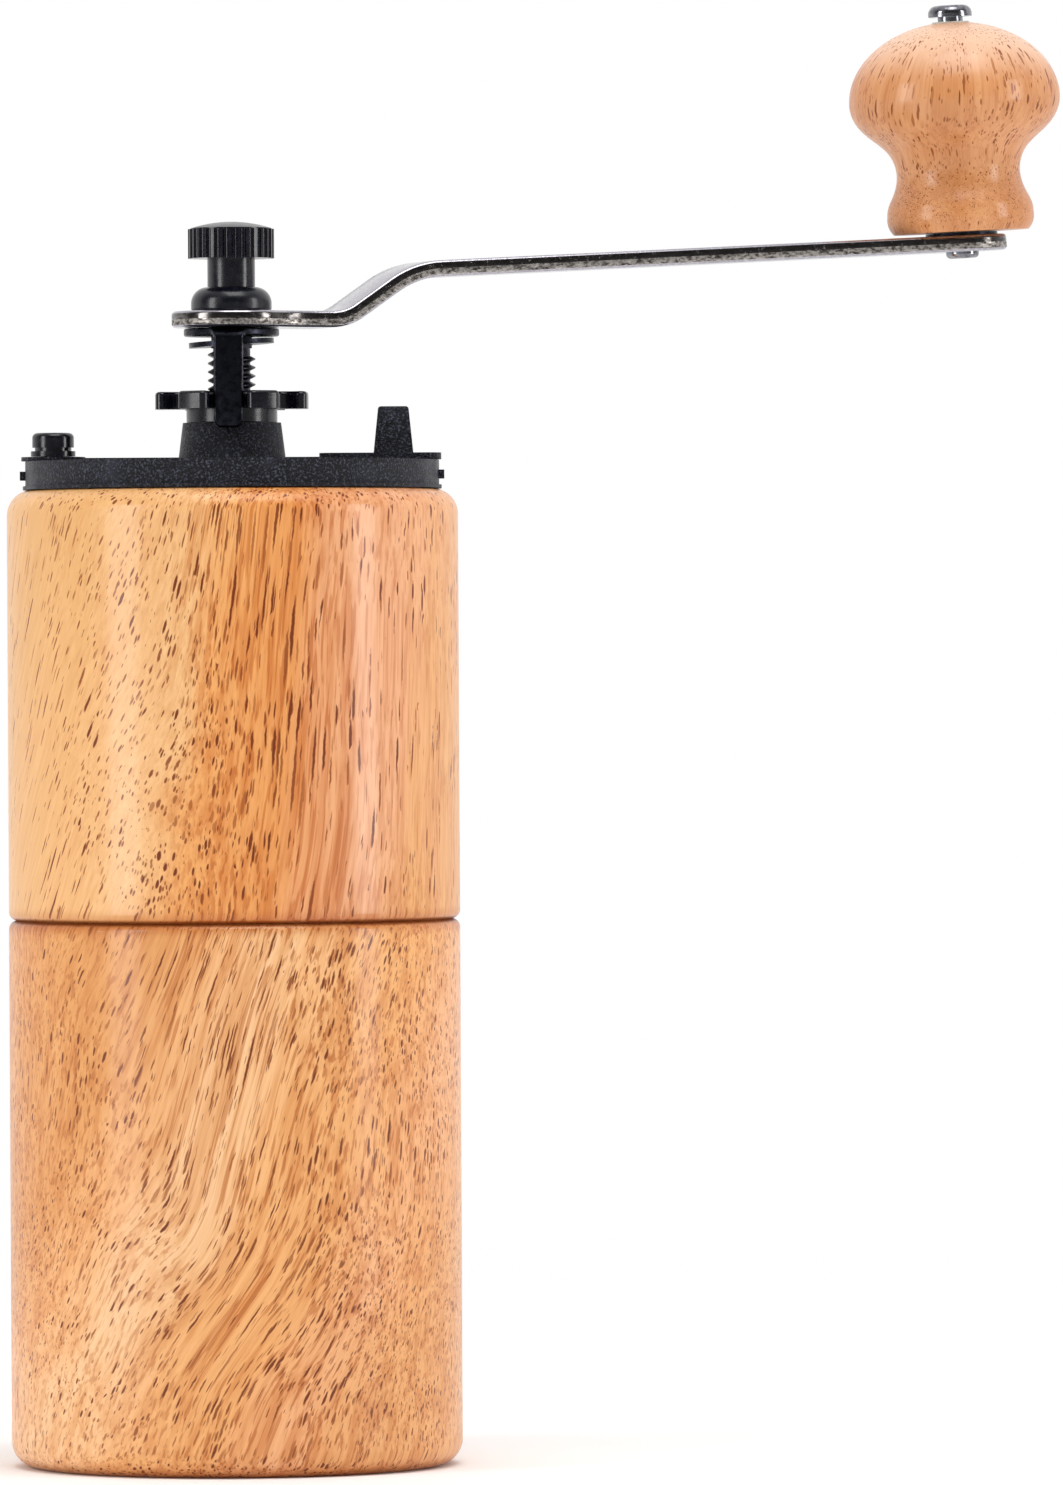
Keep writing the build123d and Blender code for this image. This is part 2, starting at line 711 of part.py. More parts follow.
makers = {
    "cup_body": make_cup_body,
    "hopper_body": make_hopper_body,
    "burr_carrier": make_burr_carrier,
    "spigot_o_ring": make_spigot_o_ring,
    "outer_burr": make_outer_burr,
    "burr_retaining_ring": make_retaining_ring,
    "retaining_ring_screws": make_retaining_ring_screws,
    "lower_bush": make_lower_bush,
    "spring_upper_washer": make_spring_upper_washer,
    "top_frame": make_top_frame,
    "upper_bush": make_upper_bush,
    "lid_stud": make_lid_stud,
    "hopper_lid": make_hopper_lid,
    "adjusting_nut": make_adjusting_nut,
    "drive_shaft": make_drive_shaft,
    "inner_burr": make_inner_burr,
    "burr_core": make_burr_core,
    "burr_washer": make_burr_washer,
    "burr_screw": make_burr_screw,
    "spring_lower_washer": make_spring_lower_washer,
    "burr_spring": make_burr_spring,
    "spring_washer": make_spring_washer,
    "lock_plate": make_lock_plate,
    "crank_arm": make_crank_arm,
    "knob_axle": make_knob_axle,
    "knob_washer": make_knob_washer,
    "cap_nut": make_cap_nut,
    "cap_nut_insert": make_cap_nut_insert,
    "handle_knob": make_handle_knob,
    "knob_sleeve": make_knob_sleeve,
}

for name, make in makers.items():
    export_step(make(), os.path.join("parts", name + ".step"))
    print(name)
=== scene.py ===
import json
import math

import bpy
from mathutils import Matrix, Vector


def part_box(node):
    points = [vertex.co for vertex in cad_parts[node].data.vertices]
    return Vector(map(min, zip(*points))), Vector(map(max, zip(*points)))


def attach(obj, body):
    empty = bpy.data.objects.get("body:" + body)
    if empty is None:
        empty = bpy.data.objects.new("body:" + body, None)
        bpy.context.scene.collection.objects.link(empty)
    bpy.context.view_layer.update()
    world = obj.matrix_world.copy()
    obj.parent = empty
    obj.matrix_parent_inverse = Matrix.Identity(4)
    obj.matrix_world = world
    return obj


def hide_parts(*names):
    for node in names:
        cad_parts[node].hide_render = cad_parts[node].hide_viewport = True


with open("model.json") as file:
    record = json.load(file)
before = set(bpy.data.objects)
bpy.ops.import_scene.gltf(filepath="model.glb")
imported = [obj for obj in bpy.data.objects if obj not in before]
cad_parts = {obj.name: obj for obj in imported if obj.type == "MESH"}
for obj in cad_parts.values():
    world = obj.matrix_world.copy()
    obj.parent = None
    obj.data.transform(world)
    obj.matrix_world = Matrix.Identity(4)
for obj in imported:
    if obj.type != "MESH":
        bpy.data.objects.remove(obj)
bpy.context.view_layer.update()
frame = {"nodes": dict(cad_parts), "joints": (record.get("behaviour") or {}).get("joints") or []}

print("frame loaded:", len(frame["nodes"]), "CAD nodes")


def srgb(r, g, b):  # 0-255 screen values to linear
    def channel(v):
        v = v / 255
        return v / 12.92 if v <= 0.04045 else ((v + 0.055) / 1.055) ** 2.4
    return (channel(r), channel(g), channel(b), 1)


# ---- small helpers for meshes

def deselectAll():
    bpy.ops.object.select_all(action="DESELECT")


def makeActive(piece):
    deselectAll()
    piece.select_set(True)
    bpy.context.view_layer.objects.active = piece


def cutWith(piece, cutter):
    cut = piece.modifiers.new("cut", "BOOLEAN")
    cut.object = cutter
    cut.operation = "DIFFERENCE"
    cut.solver = "EXACT"
    makeActive(piece)
    bpy.ops.object.modifier_apply(modifier="cut")
    bpy.data.objects.remove(cutter)


# ---- small helpers for shader nodes

class Graph:
    def __init__(self, tree):
        self.tree = tree
        self.column = 0

    def add(self, kind, **settings):
        node = self.tree.nodes.new(kind)
        self.column += 1
        node.location = (self.column % 12 * 190, -(self.column // 12) * 260)
        for key, value in settings.items():
            setattr(node, key, value)
        return node

    def feed(self, value, socket):  # a socket is linked, anything else is set
        if isinstance(value, bpy.types.NodeSocket):
            self.tree.links.new(value, socket)
        elif value is not None:
            socket.default_value = value

    def math(self, operation, a, b=None, c=None):
        node = self.add("ShaderNodeMath", operation=operation)
        for value, socket in zip((a, b, c), node.inputs):
            self.feed(value, socket)
        return node.outputs[0]

    def vector(self, operation, a, b=None):
        node = self.add("ShaderNodeVectorMath", operation=operation)
        self.feed(a, node.inputs[0])
        self.feed(b, node.inputs[1])
        return node.outputs[0]

    def scaled(self, value, factor):
        node = self.add("ShaderNodeVectorMath", operation="SCALE")
        self.feed(value, node.inputs[0])
        node.inputs["Scale"].default_value = factor
        return node.outputs[0]

    def combine(self, x, y, z):
        node = self.add("ShaderNodeCombineXYZ")
        for value, socket in zip((x, y, z), node.inputs):
            self.feed(value, socket)
        return node.outputs[0]

    def separate(self, value):
        node = self.add("ShaderNodeSeparateXYZ")
        self.feed(value, node.inputs[0])
        return node.outputs

    def noise(self, where, scale, detail=3.0, rough=0.5):
        node = self.add("ShaderNodeTexNoise")
        self.feed(where, node.inputs["Vector"])
        self.feed(scale, node.inputs["Scale"])
        node.inputs["Detail"].default_value = detail
        node.inputs["Roughness"].default_value = rough
        return node.outputs[0]

    def noiseColour(self, where, scale, detail=2.0):
        return self.noise(where, scale, detail).node.outputs["Color"]

    def dashes(self, where, amount, size, softness):  # long separate spots, their size drawn per spot
        node = self.add("ShaderNodeTexVoronoi", voronoi_dimensions="3D", feature="F1")
        self.feed(where, node.inputs["Vector"])
        node.inputs["Scale"].default_value = 1.0
        sizeDraw, shownDraw, depthDraw = self.separate(node.outputs["Color"])
        reach = self.math("MULTIPLY", self.remap(sizeDraw, 0.15, 1.0, 0.35, 1.0, smooth=False), size)
        spot = self.remap(node.outputs["Distance"], reach, self.math("MULTIPLY", reach, softness))
        spot = self.math("MULTIPLY", spot, self.math("LESS_THAN", shownDraw, amount))
        return self.math("MULTIPLY", spot, self.remap(depthDraw, 0.0, 0.7, 0.55, 1.0))

    def remap(self, value, low, high, toLow=0.0, toHigh=1.0, smooth=True):
        kind = "SMOOTHSTEP" if smooth else "LINEAR"
        node = self.add("ShaderNodeMapRange", interpolation_type=kind)
        limits = {"Value": value, "From Min": low, "From Max": high, "To Min": toLow, "To Max": toHigh}
        for key, limit in limits.items():
            self.feed(limit, node.inputs[key])
        return node.outputs[0]

    def mix(self, factor, a, b, blend="MIX"):
        node = self.add("ShaderNodeMix", data_type="RGBA", blend_type=blend)
        self.feed(factor, node.inputs["Factor"])
        self.feed(a, node.inputs["A"])
        self.feed(b, node.inputs["B"])
        return node.outputs["Result"]

    def darken(self, colour, amount, tint):
        return self.mix(amount, colour, self.mix(1.0, colour, tint, "MULTIPLY"))

    def ramp(self, value, stops):
        node = self.add("ShaderNodeValToRGB")
        self.feed(value, node.inputs[0])
        elements = node.color_ramp.elements
        while len(elements) < len(stops):
            elements.new(0.5)
        for element, (position, colour) in zip(elements, stops):
            element.position = position
            element.color = colour
        return node.outputs[0]

    def place(self, group, **values):
        node = self.add("ShaderNodeGroup")
        node.node_tree = group
        for key, value in values.items():
            self.feed(value, node.inputs[key.replace("_", " ")])
        return node.outputs


def newGroup(name, inputs, outputs):
    tree = bpy.data.node_groups.new(name, "ShaderNodeTree")
    for label, kind, value in inputs:
        socket = tree.interface.new_socket(label, in_out="INPUT", socket_type=kind)
        if value is not None:
            socket.default_value = value
    for label, kind in outputs:
        tree.interface.new_socket(label, in_out="OUTPUT", socket_type=kind)
    graph = Graph(tree)
    return tree, graph, graph.add("NodeGroupInput").outputs, graph.add("NodeGroupOutput").inputs


def newMaterial(name):
    material = bpy.data.materials.new(name)
    material.use_nodes = True
    material.node_tree.nodes.clear()
    graph = Graph(material.node_tree)
    shader = graph.add("ShaderNodeBsdfPrincipled")
    output = graph.add("ShaderNodeOutputMaterial")
    material.node_tree.links.new(shader.outputs[0], output.inputs[0])
    where = graph.add("ShaderNodeTexCoord").outputs["Object"]
    return material, graph, shader, where


def addBump(graph, shader, height, distance, strength):
    bump = graph.add("ShaderNodeBump")
    bump.inputs["Strength"].default_value = strength
    bump.inputs["Distance"].default_value = distance
    graph.feed(height, bump.inputs["Height"])
    graph.feed(bump.outputs[0], shader.inputs["Normal"])


# ---- groups shared by several finishes

grain = {  # sizes across and along the vessels, in millimetres
    "flow": (26.0, 34.0), "crowd": (3.6, 22.0), "line": (0.50, 34.0), "fibre": (0.40, 12.0),
    "streak": (1.7, 38.0), "band": (5.0, 70.0), "push": 6.0, "ripple": 0.35, "rippleScale": 0.9,
    "dashSpot": (0.52, 0.62), "speckSpot": (0.50, 0.60), "speckWidth": 0.72, "speckLength": 0.34,
    "crowding": (0.40, 1.5), "fibreHeight": 0.10,
}


def makeWoodGroup():
    # open-pored wood whose vessels follow the line where U and V stay constant, sizes in millimetres
    numbers = (("Lean", 0.0), ("Dive", 0.0), ("Wander", 2.0), ("Bulge", 0.0), ("Sweep", 0.0),
               ("Sweep Low", 0.0), ("Sweep High", 1.0), ("Dash Width", 1.0), ("Dash Length", 10.0),
               ("Dash Amount", 0.5), ("Speck Amount", 0.5))
    results = ("Dashes", "Specks", "Lines", "Fibre", "Streaks", "Bands", "Across", "Height")
    tree, g, i, o = newGroup(
        "openPoredWood",
        [("Vector", "NodeSocketVector", None)] + [(key, "NodeSocketFloat", value) for key, value in numbers],
        [(label, "NodeSocketFloat") for label in results])
    mm = g.scaled(i["Vector"], 1000.0)
    x, y, z = g.separate(mm)

    def stretched(a, b, acrossSize, alongSize):
        return g.combine(g.math("DIVIDE", a, acrossSize), g.math("DIVIDE", b, acrossSize),
                         g.math("DIVIDE", z, alongSize))

    spread = g.math("MULTIPLY_ADD", g.math("MULTIPLY", z, z), i["Bulge"], 1.0)
    flow = g.noiseColour(stretched(x, y, *grain["flow"]), 1.0, detail=1.0)
    flowX, flowY, _ = g.separate(g.vector("SUBTRACT", flow, (0.5, 0.5, 0.5)))
    push = g.math("MULTIPLY", i["Wander"], grain["push"])
    swept = g.math("MULTIPLY", g.remap(z, i["Sweep Low"], i["Sweep High"]), i["Sweep"])
    u = g.math("MULTIPLY_ADD", x, spread, g.math("MULTIPLY", z, i["Lean"]))
    u = g.math("SUBTRACT", g.math("MULTIPLY_ADD", flowX, push, u), swept)
    v = g.math("MULTIPLY_ADD", y, spread, g.math("MULTIPLY", z, i["Dive"]))
    v = g.math("MULTIPLY_ADD", flowY, push, v)
    crowd = g.noise(stretched(u, v, *grain["crowd"]), 1.0, detail=2.0)
    crowd = g.remap(crowd, 0.34, 0.66, *grain["crowding"])
    ripple = g.math("SUBTRACT", g.noise(mm, grain["rippleScale"], detail=2.0), 0.5)
    rippled = g.math("ADD", u, g.math("MULTIPLY", ripple, grain["ripple"]))
    dashes = g.dashes(stretched(rippled, v, i["Dash Width"], i["Dash Length"]),
                      g.math("MULTIPLY", i["Dash Amount"], crowd), *grain["dashSpot"])
    speckWidth = g.math("MULTIPLY", i["Dash Width"], grain["speckWidth"])
    speckLength = g.math("MULTIPLY", i["Dash Length"], grain["speckLength"])
    specks = g.dashes(stretched(rippled, v, speckWidth, speckLength),
                      g.math("MULTIPLY", i["Speck Amount"], crowd), *grain["speckSpot"])
    lines = g.remap(g.noise(stretched(u, v, *grain["line"]), 1.0, detail=2.0), 0.53, 0.62)
    fibre = g.noise(stretched(u, v, *grain["fibre"]), 1.0, detail=4.0, rough=0.62)
    streaks = g.remap(g.noise(stretched(u, v, *grain["streak"]), 1.0, detail=3.0, rough=0.6), 0.40, 0.66)
    bands = g.noise(stretched(u, v, *grain["band"]), 1.0, detail=2.0, rough=0.5)
    raised = g.math("MULTIPLY", fibre, grain["fibreHeight"])
    height = g.math("SUBTRACT", raised, g.math("MAXIMUM", dashes, specks))
    for value, key in zip((dashes, specks, lines, fibre, streaks, bands, u, height), results):
        g.feed(value, o[key])
    return tree


def makeMouldedGroup():
    # fine spark-eroded grain of moulded plastic, with soft handling marks
    results = ("Speckle", "Smudge", "Roughness", "Height")
    tree, g, i, o = newGroup(
        "mouldedGrain",
        [("Vector", "NodeSocketVector", None), ("Grain Size", "NodeSocketFloat", 0.30),
         ("Low", "NodeSocketFloat", 0.3), ("High", "NodeSocketFloat", 0.6)],
        [(label, "NodeSocketFloat") for label in results])
    mm = g.scaled(i["Vector"], 1000.0)
    grainScale = g.math("DIVIDE", 1.0, i["Grain Size"])
    height = g.noise(mm, grainScale, detail=2.0, rough=0.7)
    smudge = g.noise(mm, 0.16, detail=3.0, rough=0.6)
    speckle = g.remap(height, 0.50, 0.68)
    mixed = g.math("ADD", g.math("MULTIPLY", smudge, 0.7), g.math("MULTIPLY", height, 0.3))
    rough = g.remap(mixed, 0.35, 0.65, i["Low"], i["High"])
    for value, key in zip((speckle, smudge, rough, height), results):
        g.feed(value, o[key])
    return tree


def makeMetalGroup():
    # polishing lines and tiny pits of stamped or turned steel
    results = ("Lines", "Pits", "Roughness", "Height")
    tree, g, i, o = newGroup(
        "workedSteel",
        [("Vector", "NodeSocketVector", None), ("Stretch", "NodeSocketVector", (1.0, 1.0, 1.0)),
         ("Low", "NodeSocketFloat", 0.12), ("High", "NodeSocketFloat", 0.35)],
        [(label, "NodeSocketFloat") for label in results])
    mm = g.scaled(i["Vector"], 1000.0)
    lines = g.noise(g.vector("MULTIPLY", mm, i["Stretch"]), 1.0, detail=4.0, rough=0.65)
    pits = g.remap(g.noise(mm, 1.7, detail=4.0, rough=0.7), 0.60, 0.72)
    rough = g.math("ADD", g.remap(lines, 0.3, 0.7, i["Low"], i["High"]), g.math("MULTIPLY", pits, 0.15))
    height = g.math("SUBTRACT", g.math("MULTIPLY", lines, 0.4), pits)
    for value, key in zip((lines, pits, rough, height), results):
        g.feed(value, o[key])
    return tree


woodGroup = makeWoodGroup()
mouldedGroup = makeMouldedGroup()
metalGroup = makeMetalGroup()
print("shader groups ready")


# ---- wood

# lean and dive tilt the grain on the stud's side and on the tab's side, sweep shifts it between two heights,
# dash is the width and length of a vessel, the end and lip amounts are painted shade at the lower
# and upper end, where the pieces meet and at the foot, crown is the amount of painted highlight on the top;
# lists run from the stud's side (0) to the tab's side (1)
woodFinish = {
    "hopper": {
        "lean": (-0.22, -0.13), "dive": (0.42, 0.02), "wander": 0.8, "bulge": 0.0, "sweep": (0.0, 0.0, 1.0),
        "dash": (0.62, 17.0),
        "dashes": ((0.0, 0.15), (0.28, 0.30), (0.40, 0.9), (0.68, 1.0), (0.78, 0.50), (1.0, 0.3)),
        "specks": ((0.0, 0.10), (0.12, 0.7), (0.40, 0.9), (0.60, 0.5), (0.80, 0.2), (1.0, 0.2)),
        "streaks": ((0.0, 0.15), (0.34, 0.25), (0.46, 0.9), (0.68, 1.0), (0.82, 0.7), (1.0, 0.4)),
        "tones": ((0.00, (230, 177, 114)), (0.22, (240, 186, 126)), (0.36, (245, 194, 136)),
                  (0.48, (240, 172, 104)), (0.62, (234, 160, 92)), (0.72, (238, 172, 122)),
                  (0.82, (240, 178, 134)), (1.00, (232, 170, 106))),
        "rim": (178, 92, 26), "pore": (116, 46, 4), "stain": (0.80, 0.60, 0.42, 1),
        "line": (0.74, 0.52, 0.34, 1), "endShade": (0.8, 0.0), "lipShade": (0.9, 0.0), "crown": 0.0,
    },
    "cup": {
        "lean": (-0.40, -0.34), "dive": (0.0, 0.04), "wander": 1.3, "bulge": 0.0, "sweep": (6.0, -28.0, 2.0),
        "dash": (0.58, 11.5),
        "dashes": ((0.0, 0.4), (0.20, 0.6), (0.40, 0.9), (0.70, 1.0), (0.85, 0.7), (1.0, 0.6)),
        "specks": ((0.0, 0.2), (0.30, 0.3), (0.45, 0.7), (0.75, 0.8), (1.0, 0.4)),
        "streaks": ((0.0, 0.8), (0.25, 0.7), (0.50, 1.0), (0.75, 1.0), (1.0, 0.6)),
        "tones": ((0.00, (228, 162, 98)), (0.14, (242, 182, 124)), (0.32, (250, 202, 152)),
                  (0.50, (244, 184, 122)), (0.64, (240, 176, 112)), (0.78, (242, 180, 128)),
                  (0.88, (238, 174, 114)), (1.00, (232, 170, 110))),
        "rim": (180, 98, 34), "pore": (116, 50, 6), "stain": (0.82, 0.66, 0.50, 1),
        "line": (0.66, 0.44, 0.27, 1), "endShade": (1.0, 1.0), "lipShade": (0.9, 0.9), "crown": 0.0,
    },
    "knob": {
        "lean": (-0.05, 0.05), "dive": (0.20, 0.05), "wander": 1.4, "bulge": 0.0050, "sweep": (0.0, 0.0, 1.0),
        "dash": (0.56, 4.2),
        "dashes": ((0.0, 0.4), (0.25, 0.7), (0.40, 0.25), (0.60, 0.25), (0.75, 0.7), (1.0, 0.5)),
        "specks": ((0.0, 0.3), (0.5, 0.7), (1.0, 0.3)),
        "streaks": ((0.0, 0.5), (1.0, 0.5)),
        "tones": ((0.00, (212, 146, 94)), (0.30, (226, 164, 114)), (0.50, (212, 146, 94)),
                  (0.70, (226, 164, 114)), (1.00, (212, 146, 94))),
        "rim": (190, 112, 54), "pore": (134, 66, 20), "stain": (0.84, 0.70, 0.56, 1),
        "line": (0.80, 0.64, 0.50, 1), "endShade": (0.0, 0.0), "lipShade": (0.0, 0.0), "crown": 0.6,
    },
}
# the end and lip entries are painted shade, the crown entries a painted highlight
woodShading = {  # amounts and tints, with reaches and depths in metres from the end or the outer face
    "bandPull": 0.22, "streaks": 0.95, "lines": 0.8, "fibre": 0.55, "fibreTint": (0.88, 0.79, 0.70, 1),
    "endShadeReach": (0.0022, 0.0001), "endShadeTint": (0.74, 0.54, 0.37, 1), "lipShadeReach": (0.0006, 0.0001),
    "lipShadeDepth": (0.0012, 0.0005), "lipShadeTint": (0.34, 0.20, 0.12, 1), "crownReach": (0.0095, 0.0025),
    "crownTint": srgb(250, 212, 184), "specks": 0.85, "rim": 0.9, "porePower": 2.2,
}
lacquer = {"roughness": (0.38, 0.54), "specular": 0.22, "coat": 0.40, "coatRoughness": 0.17, "depth": 0.00005}
grainHeight = {"hopper": 0.104, "cup": 0.037}  # where the grain's own zero lies
bellyRise = 0.0037  # the knob's belly lies above its middle


def endShadeMask(g, z, low, high, reach, amounts):  # painted shade, strongest at the lower and upper end of a turned piece
    far, near = reach
    lower = g.math("MULTIPLY", g.remap(z, low + far, low + near), amounts[0])
    upper = g.math("MULTIPLY", g.remap(z, high - far, high - near), amounts[1])
    return g.math("MAXIMUM", lower, upper)


def makeWood(name, finish, node, halfWidth, origin):
    material, g, shader, where = newMaterial(name)
    low, high = (corner.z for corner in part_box(node))
    left, right = origin.x - halfWidth, origin.x + halfWidth
    x, y, z = g.separate(where)
    place = g.remap(x, left, right, smooth=False)
    side = g.remap(place, 0.25, 0.65)  # 0 on the stud's side, 1 on the tab's
    lean = g.remap(side, 0.0, 1.0, *finish["lean"], smooth=False)
    dive = g.remap(side, 0.0, 1.0, *finish["dive"], smooth=False)

    def along(key):
        return g.ramp(place, [(p, (v, v, v, 1)) for p, v in finish[key]])

    dashWidth, dashLength = finish["dash"]
    sweep, sweepLow, sweepHigh = finish["sweep"]
    wood = g.place(woodGroup, Vector=g.vector("SUBTRACT", where, origin), Lean=lean, Dive=dive,
                   Wander=finish["wander"], Bulge=finish["bulge"], Sweep=sweep, Sweep_Low=sweepLow,
                   Sweep_High=sweepHigh, Dash_Width=dashWidth, Dash_Length=dashLength,
                   Dash_Amount=along("dashes"), Speck_Amount=along("specks"))
    across = g.remap(wood["Across"], -halfWidth * 1000, halfWidth * 1000, smooth=False)
    across = g.math("MULTIPLY_ADD", g.math("SUBTRACT", wood["Bands"], 0.5), woodShading["bandPull"], across)
    base = g.ramp(across, [(p, srgb(*c)) for p, c in finish["tones"]])
    streaks = g.math("MULTIPLY", along("streaks"), woodShading["streaks"])
    base = g.darken(base, g.math("MULTIPLY", wood["Streaks"], streaks), finish["stain"])
    fibre = g.math("MULTIPLY", g.remap(wood["Fibre"], 0.36, 0.66), woodShading["fibre"])
    base = g.darken(base, fibre, woodShading["fibreTint"])
    lines = g.math("MULTIPLY", along("streaks"), woodShading["lines"])
    base = g.darken(base, g.math("MULTIPLY", wood["Lines"], lines), finish["line"])
    # painted shade: darker brown towards the seam between hopper and cup, and towards the cup's foot
    if any(finish["endShade"]):
        endShadeAmount = endShadeMask(g, z, low, high, woodShading["endShadeReach"], finish["endShade"])
        base = g.darken(base, endShadeAmount, woodShading["endShadeTint"])
    # painted shade: a dark line on the outer edge in the seam groove and at the foot
    if any(finish["lipShade"]):
        fromAxis = g.math("SQRT", g.math("ADD", g.math("MULTIPLY", x, x), g.math("MULTIPLY", y, y)))
        outer, inner = (halfWidth - depth for depth in woodShading["lipShadeDepth"])
        lipShade = endShadeMask(g, z, low, high, woodShading["lipShadeReach"], finish["lipShade"])
        lipShade = g.math("MULTIPLY", lipShade, g.remap(fromAxis, outer, inner))
        base = g.darken(base, lipShade, woodShading["lipShadeTint"])
    # painted highlight: the knob's top lightened towards a pale tint
    if finish["crown"]:
        crown = g.remap(z, *(high - depth for depth in woodShading["crownReach"]))
        base = g.mix(g.math("MULTIPLY", crown, finish["crown"]), base, woodShading["crownTint"])
    spots = g.math("MAXIMUM", wood["Dashes"], g.math("MULTIPLY", wood["Specks"], woodShading["specks"]))
    colour = g.mix(g.math("MULTIPLY", spots, woodShading["rim"]), base, srgb(*finish["rim"]))
    colour = g.mix(g.math("POWER", spots, woodShading["porePower"]), colour, srgb(*finish["pore"]))
    g.feed(colour, shader.inputs["Base Color"])
    g.feed(g.remap(wood["Fibre"], 0.3, 0.7, *lacquer["roughness"]), shader.inputs["Roughness"])
    shader.inputs["Specular IOR Level"].default_value = lacquer["specular"]
    shader.inputs["Coat Weight"].default_value = lacquer["coat"]
    shader.inputs["Coat Roughness"].default_value = lacquer["coatRoughness"]
    addBump(g, shader, wood["Height"], lacquer["depth"], 0.5)
    return material


# ---- plastics, rubber, ceramic

plasticCoatRoughness = 0.08


def makePlastic(name, colour, lift, size, rough, depth, coat=0.0, specular=0.5):
    # size is that of the grain in millimetres, depth that of its relief in metres
    material, g, shader, where = newMaterial(name)
    moulded = g.place(mouldedGroup, Vector=where, Grain_Size=size, Low=rough[0], High=rough[1])
    shade = g.mix(g.math("MULTIPLY", moulded["Speckle"], 0.75), srgb(*colour), srgb(*lift))
    smudged = g.mix(g.remap(moulded["Smudge"], 0.5, 0.8, 0.0, 0.25), shade, srgb(*lift))
    g.feed(smudged, shader.inputs["Base Color"])
    g.feed(moulded["Roughness"], shader.inputs["Roughness"])
    shader.inputs["Specular IOR Level"].default_value = specular
    shader.inputs["Coat Weight"].default_value = coat
    shader.inputs["Coat Roughness"].default_value = plasticCoatRoughness
    addBump(g, shader, moulded["Height"], depth, 0.6)
    return material


plastics = {
    "frame_plastic": {"name": "framePlastic", "colour": (4, 5, 13), "lift": (84, 87, 102), "size": 0.32,
                      "rough": (0.34, 0.55), "depth": 0.00045, "specular": 0.22},
    "gloss_plastic": {"name": "glossPlastic", "colour": (9, 10, 20), "lift": (24, 26, 38), "size": 0.8,
                      "rough": (0.18, 0.32), "depth": 0.00001, "coat": 0.1, "specular": 0.4},
    "carrier_plastic": {"name": "carrierPlastic", "colour": (38, 38, 41), "lift": (56, 56, 60), "size": 0.5,
                        "rough": (0.34, 0.48), "depth": 0.00004},
    "rubber": {"name": "ringRubber", "colour": (24, 24, 25), "lift": (40, 40, 40), "size": 0.4,
               "rough": (0.55, 0.7), "depth": 0.00004},
    "ceramic": {"name": "burrCeramic", "colour": (226, 220, 208), "lift": (206, 196, 180), "size": 0.6,
                "rough": (0.3, 0.45), "depth": 0.00003, "coat": 0.2},
    "bush": {"name": "bushPlastic", "colour": (216, 212, 200), "lift": (200, 194, 180), "size": 0.7,
             "rough": (0.28, 0.4), "depth": 0.00002},
}


# ---- steel and brass

def makeSteel(name, colour, dark, stretch, rough, depth):
    material, g, shader, where = newMaterial(name)
    steel = g.place(metalGroup, Vector=where, Stretch=stretch, Low=rough[0], High=rough[1])
    shade = g.mix(g.remap(steel["Lines"], 0.35, 0.65), srgb(*colour), srgb(*dark))
    g.feed(g.mix(steel["Pits"], shade, srgb(*dark)), shader.inputs["Base Color"])
    shader.inputs["Metallic"].default_value = 1.0
    g.feed(steel["Roughness"], shader.inputs["Roughness"])
    addBump(g, shader, steel["Height"], depth, 0.5)
    return material


metals = {
    "arm_steel": {"name": "armSteel", "colour": (184, 180, 188), "dark": (160, 156, 164),
                  "stretch": (2.2, 2.2, 2.2), "rough": (0.08, 0.22), "depth": 0.00002},
    "burnished_edge": {"name": "burnishedEdge", "colour": (120, 116, 114), "dark": (60, 57, 56),
                       "stretch": (0.6, 0.6, 2.4), "rough": (0.10, 0.26), "depth": 0.00004},
    "torn_edge": {"name": "tornEdge", "colour": (176, 170, 164), "dark": (58, 54, 52),
                  "stretch": (1.3, 1.3, 2.6), "rough": (0.26, 0.55), "depth": 0.00025},
    "axle_steel": {"name": "axleSteel", "colour": (150, 150, 156), "dark": (104, 104, 110),
                   "stretch": (1.2, 1.2, 1.2), "rough": (0.10, 0.24), "depth": 0.00001},
    "zinc_steel": {"name": "zincSteel", "colour": (176, 176, 172), "dark": (140, 140, 134),
                   "stretch": (1.0, 1.0, 3.0), "rough": (0.22, 0.4), "depth": 0.00002},
    "black_steel": {"name": "blackSteel", "colour": (44, 45, 53), "dark": (22, 23, 28),
                    "stretch": (1.0, 1.0, 1.0), "rough": (0.24, 0.42), "depth": 0.00003},
    "insert_brass": {"name": "insertBrass", "colour": (206, 172, 96), "dark": (168, 132, 66),
                     "stretch": (1.0, 1.0, 3.0), "rough": (0.18, 0.34), "depth": 0.00002},
}


# ---- finishes on the CAD nodes

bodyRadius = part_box("cup_body")[1].x
knobLow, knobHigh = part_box("handle_knob")
knobRadius = (knobHigh.x - knobLow.x) / 2
knobCentre = (knobLow + knobHigh) / 2 + Vector((0, 0, bellyRise))
hopperCentre, cupCentre = (Vector((0, 0, grainHeight[key])) for key in ("hopper", "cup"))

finishes = {
    "hopper_wood": makeWood("hopperWood", woodFinish["hopper"], "hopper_body", bodyRadius, hopperCentre),
    "cup_wood": makeWood("cupWood", woodFinish["cup"], "cup_body", bodyRadius, cupCentre),
    "knob_wood": makeWood("knobWood", woodFinish["knob"], "handle_knob", knobRadius, knobCentre),
}
for key, values in plastics.items():
    finishes[key] = makePlastic(**values)
for key, values in metals.items():
    finishes[key] = makeSteel(**values)

